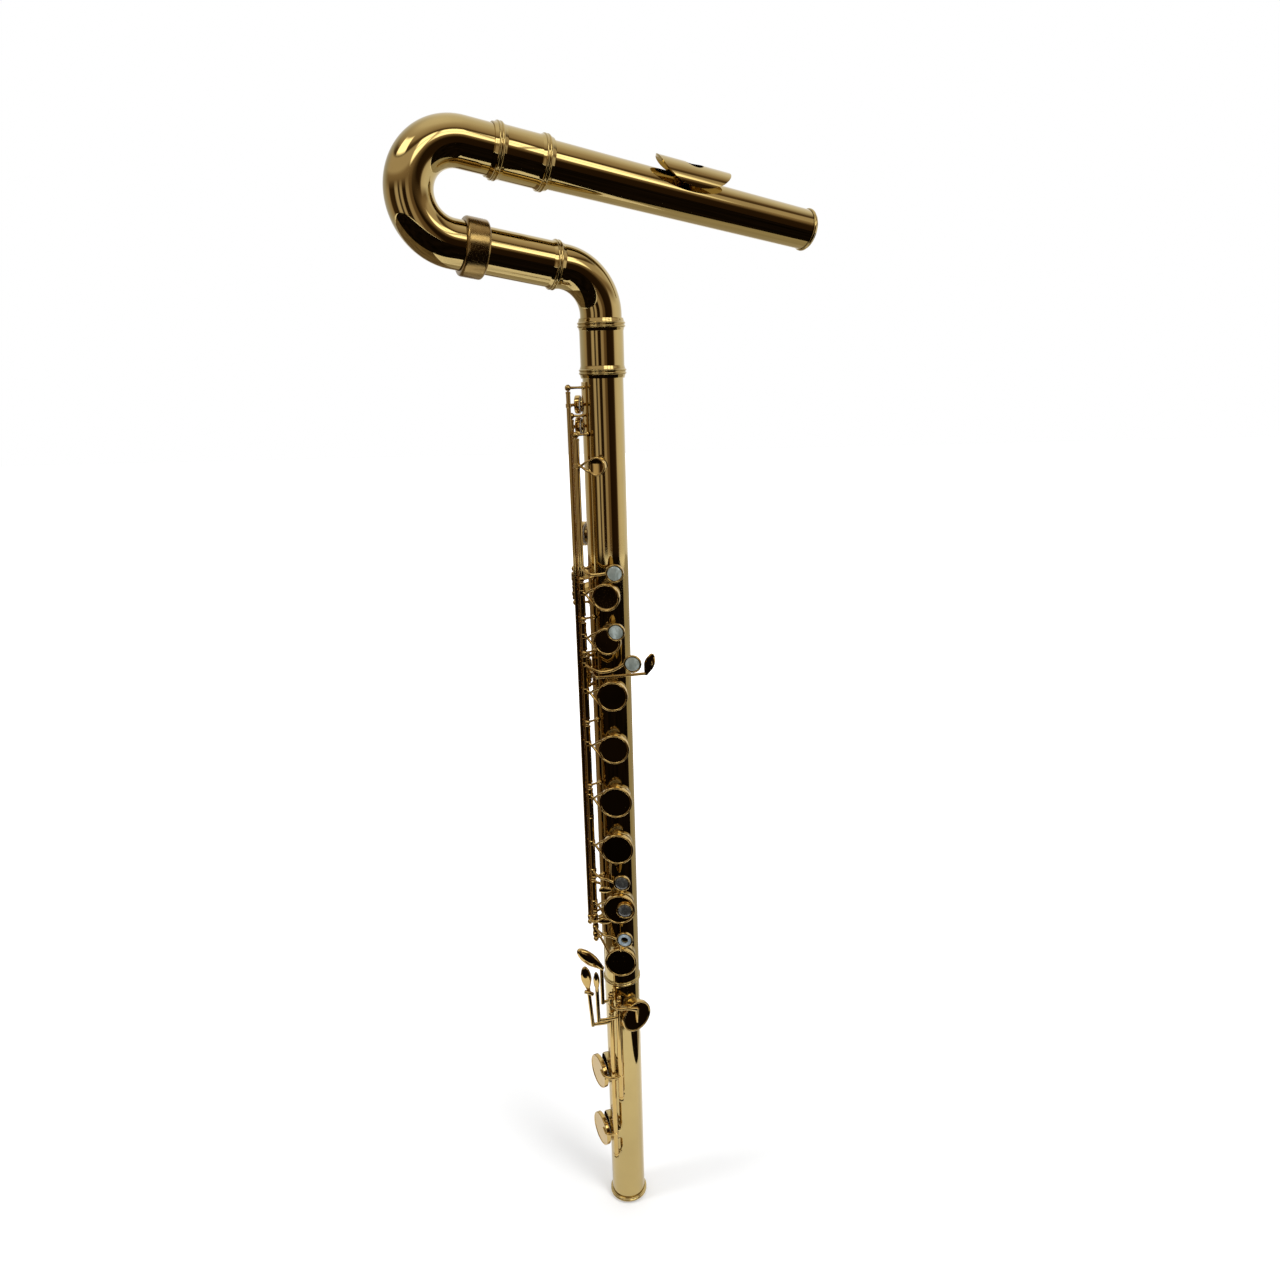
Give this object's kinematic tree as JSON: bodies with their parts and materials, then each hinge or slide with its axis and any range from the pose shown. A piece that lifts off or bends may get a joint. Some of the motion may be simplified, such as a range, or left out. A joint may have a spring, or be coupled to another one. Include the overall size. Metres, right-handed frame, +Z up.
{
  "type": "bass flute",
  "caption": "Upright bass flute with foot joint, keyed body, bent neck, sliding U-bend and level head tube; its keys swing on hinge rods and close tone holes.",
  "frame": {"origin": "centre of the foot joint's open end, where a stand's peg enters", "axes": "+Z up along the body tube's axis, -Y towards the side with the main key cups, +X to the right of the one who looks at them"},
  "size_m": [0.3196, 0.1631, 0.9647],
  "materials": {
    "gold_tube": "gold-lacquered brass, polished tube",
    "key_gold": "gold-lacquered brass, polished keywork",
    "steel": "drawn steel rod",
    "satin_brass": "satin brown brass",
    "pad": "skin over felt",
    "pale_pearl": "pale pearl",
    "dark_pearl": "dark grey pearl",
    "ring_pearl": "white pearl ring",
    "cork": "cork, matte"
  },
  "bodies": {
    "foot": {"foot_tube": "gold_tube", "foot_end_ring": "gold_tube", "foot_rib": "key_gold", "low_c_steel": "steel", "low_c_sharp_steel": "steel"},
    "body": {"body_tube": "gold_tube", "barrel": "gold_tube", "main_rib": "key_gold", "thumb_rib": "key_gold", "upper_steel": "steel", "left_hand_steel": "steel", "right_hand_steel": "steel", "trill_steel": "steel", "second_trill_steel": "steel", "thumb_steel": "steel", "g_sharp_steel": "steel"},
    "neck": {"elbow": "gold_tube", "receiver": "gold_tube", "slide_collar": "satin_brass"},
    "slide": {"u_bend": "gold_tube", "head_socket": "gold_tube"},
    "mouthpiece": {"head_tube": "gold_tube", "lip_plate": "gold_tube", "riser": "gold_tube"},
    "crown": {"crown": "gold_tube", "cork_screw": "steel"},
    "cork": {"cork_stopper": "cork"},
    "trill_d_sharp_key": {"trill_d_sharp_key": "key_gold"},
    "trill_d_key": {"trill_d_key": "key_gold"},
    "c_key": {"c_key": "key_gold", "c_key_pearl": "pale_pearl"},
    "b_flat_key": {"b_flat_key": "key_gold"},
    "a_key": {"a_key": "key_gold", "a_key_pearl": "pale_pearl"},
    "upper_g_key": {"upper_g_key": "key_gold", "upper_g_key_pad": "pad", "upper_g_key_pearl": "pale_pearl"},
    "lower_g_key": {"lower_g_key": "key_gold", "lower_g_key_pad": "pad"},
    "g_sharp_key": {"g_sharp_key": "key_gold"},
    "thumb_b_key": {"thumb_b_key": "key_gold"},
    "thumb_b_flat_key": {"thumb_b_flat_key": "key_gold"},
    "f_sharp_key": {"f_sharp_key": "key_gold", "f_sharp_key_pad": "pad"},
    "f_key": {"f_key": "key_gold", "f_key_pad": "pad", "f_key_pearl": "dark_pearl"},
    "e_key": {"e_key": "key_gold", "e_key_pad": "pad", "e_key_pearl": "dark_pearl"},
    "d_key": {"d_key": "key_gold", "d_key_pad": "pad", "d_key_pearl": "ring_pearl"},
    "d_sharp_key": {"d_sharp_key": "key_gold", "d_sharp_key_pad": "pad"},
    "low_c_sharp_key": {"low_c_sharp_key": "key_gold", "low_c_sharp_key_pad": "pad"},
    "low_c_key": {"low_c_key": "key_gold", "low_c_key_pad": "pad"}
  },
  "joints": [
    {"name": "foot_joint_turn", "type": "hinge", "parent": "foot", "child": "body", "pos_m": [0, 0, 0.252], "axis": [0, 0, 1], "range_deg": [-5, 5]},
    {"name": "neck_swivel", "type": "hinge", "parent": "body", "child": "neck", "pos_m": [0, 0, 0.809], "axis": [0, 0, 1], "continuous": true},
    {"name": "tuning_slide", "type": "slide", "parent": "neck", "child": "slide", "axis": [-0.9009, -0.4011, 0.1656], "range_m": [0, 0.015]},
    {"name": "mouthpiece_turn", "type": "hinge", "parent": "slide", "child": "mouthpiece", "pos_m": [-0.09155, -0.04076, 0.94771], "axis": [0.9009, 0.4011, -0.1656], "range_deg": [-30, 30]},
    {"name": "crown_turn", "type": "hinge", "parent": "mouthpiece", "child": "crown", "pos_m": [-0.09155, -0.04076, 0.94771], "axis": [0.9009, 0.4011, -0.1656], "range_deg": [-180, 180]},
    {"name": "cork_shift", "type": "slide", "parent": "mouthpiece", "child": "cork", "axis": [0.9009, 0.4011, -0.1656], "range_m": [-0.0006, 0.0006]},
    {"name": "trill_d_sharp_key_swing", "type": "hinge", "parent": "body", "child": "trill_d_sharp_key", "pos_m": [-0.02659, -0.01474, 0.549], "axis": [0, 0, 1], "range_deg": [0, 8], "stiffness_Nm_per_rad": 0.06, "springref_deg": -5.73},
    {"name": "trill_d_key_swing", "type": "hinge", "parent": "body", "child": "trill_d_key", "pos_m": [-0.02515, -0.00866, 0.538], "axis": [0, 0, 1], "range_deg": [0, 8], "stiffness_Nm_per_rad": 0.06, "springref_deg": -5.73},
    {"name": "c_key_swing", "type": "hinge", "parent": "body", "child": "c_key", "pos_m": [-0.02175, -0.01699, 0.689], "axis": [0, 0, 1], "range_deg": [0, 8], "stiffness_Nm_per_rad": 0.06, "springref_deg": -5.73},
    {"name": "b_flat_key_swing", "type": "hinge", "parent": "body", "child": "b_flat_key", "pos_m": [-0.02175, -0.01699, 0.616], "axis": [0, 0, 1], "range_deg": [0, 8], "stiffness_Nm_per_rad": 0.06, "springref_deg": -5.73},
    {"name": "a_key_swing", "type": "hinge", "parent": "body", "child": "a_key", "pos_m": [-0.02175, -0.01699, 0.584], "axis": [0, 0, 1], "range_deg": [0, 8], "stiffness_Nm_per_rad": 0.06, "springref_deg": -5.73},
    {"name": "upper_g_key_swing", "type": "hinge", "parent": "body", "child": "upper_g_key", "pos_m": [-0.02175, -0.01699, 0.54], "axis": [0, 0, 1], "range_deg": [0, 8], "stiffness_Nm_per_rad": 0.06, "springref_deg": -5.73},
    {"name": "lower_g_key_swing", "type": "hinge", "parent": "body", "child": "lower_g_key", "pos_m": [-0.02175, -0.01699, 0.48], "axis": [0, 0, 1], "range_deg": [0, 8], "stiffness_Nm_per_rad": 0.06, "springref_deg": -5.73},
    {"name": "g_sharp_key_swing", "type": "hinge", "parent": "body", "child": "g_sharp_key", "pos_m": [-0.0197, -0.00602, 0.552], "axis": [0, 0, 1], "range_deg": [0, 8], "stiffness_Nm_per_rad": 0.06, "springref_deg": -5.73},
    {"name": "thumb_b_key_swing", "type": "hinge", "parent": "body", "child": "thumb_b_key", "pos_m": [-0.02833, -0.00198, 0.63], "axis": [0, 0, 1], "range_deg": [-8, 0], "stiffness_Nm_per_rad": 0.06, "springref_deg": 5.73},
    {"name": "thumb_b_flat_key_swing", "type": "hinge", "parent": "body", "child": "thumb_b_flat_key", "pos_m": [-0.02833, -0.00198, 0.618], "axis": [0, 0, 1], "range_deg": [-8, 0], "stiffness_Nm_per_rad": 0.06, "springref_deg": 5.73},
    {"name": "f_sharp_key_swing", "type": "hinge", "parent": "body", "child": "f_sharp_key", "pos_m": [-0.02175, -0.01699, 0.437], "axis": [0, 0, 1], "range_deg": [0, 8], "stiffness_Nm_per_rad": 0.06, "springref_deg": -5.73},
    {"name": "f_key_swing", "type": "hinge", "parent": "body", "child": "f_key", "pos_m": [-0.02175, -0.01699, 0.392], "axis": [0, 0, 1], "range_deg": [0, 8], "stiffness_Nm_per_rad": 0.06, "springref_deg": -5.73},
    {"name": "e_key_swing", "type": "hinge", "parent": "body", "child": "e_key", "pos_m": [-0.02175, -0.01699, 0.345], "axis": [0, 0, 1], "range_deg": [0, 8], "stiffness_Nm_per_rad": 0.06, "springref_deg": -5.73},
    {"name": "d_key_swing", "type": "hinge", "parent": "body", "child": "d_key", "pos_m": [-0.02175, -0.01699, 0.314], "axis": [0, 0, 1], "range_deg": [0, 8], "stiffness_Nm_per_rad": 0.06, "springref_deg": -5.73},
    {"name": "d_sharp_key_swing", "type": "hinge", "parent": "foot", "child": "d_sharp_key", "pos_m": [-0.01035, -0.02121, 0.233], "axis": [0, 0, 1], "range_deg": [-10, 0], "stiffness_Nm_per_rad": 0.06, "springref_deg": 5.73},
    {"name": "low_c_sharp_key_swing", "type": "hinge", "parent": "foot", "child": "low_c_sharp_key", "pos_m": [-0.00366, -0.02311, 0.182], "axis": [0, 0, 1], "range_deg": [-10, 0], "stiffness_Nm_per_rad": 0.06, "springref_deg": 5.73},
    {"name": "low_c_key_swing", "type": "hinge", "parent": "foot", "child": "low_c_key", "pos_m": [-0.01035, -0.02121, 0.141], "axis": [0, 0, 1], "range_deg": [-10, 0], "stiffness_Nm_per_rad": 0.06, "springref_deg": 5.73}
  ],
  "couplings": [
    {"joint": "lower_g_key_swing", "follows": "upper_g_key_swing", "ratio": 1},
    {"joint": "f_sharp_key_swing", "follows": "f_key_swing", "ratio": 1},
    {"joint": "b_flat_key_swing", "follows": "a_key_swing", "ratio": 1},
    {"joint": "cork_shift", "follows": "crown_turn", "m_per_rad": 0.000159}
  ]
}
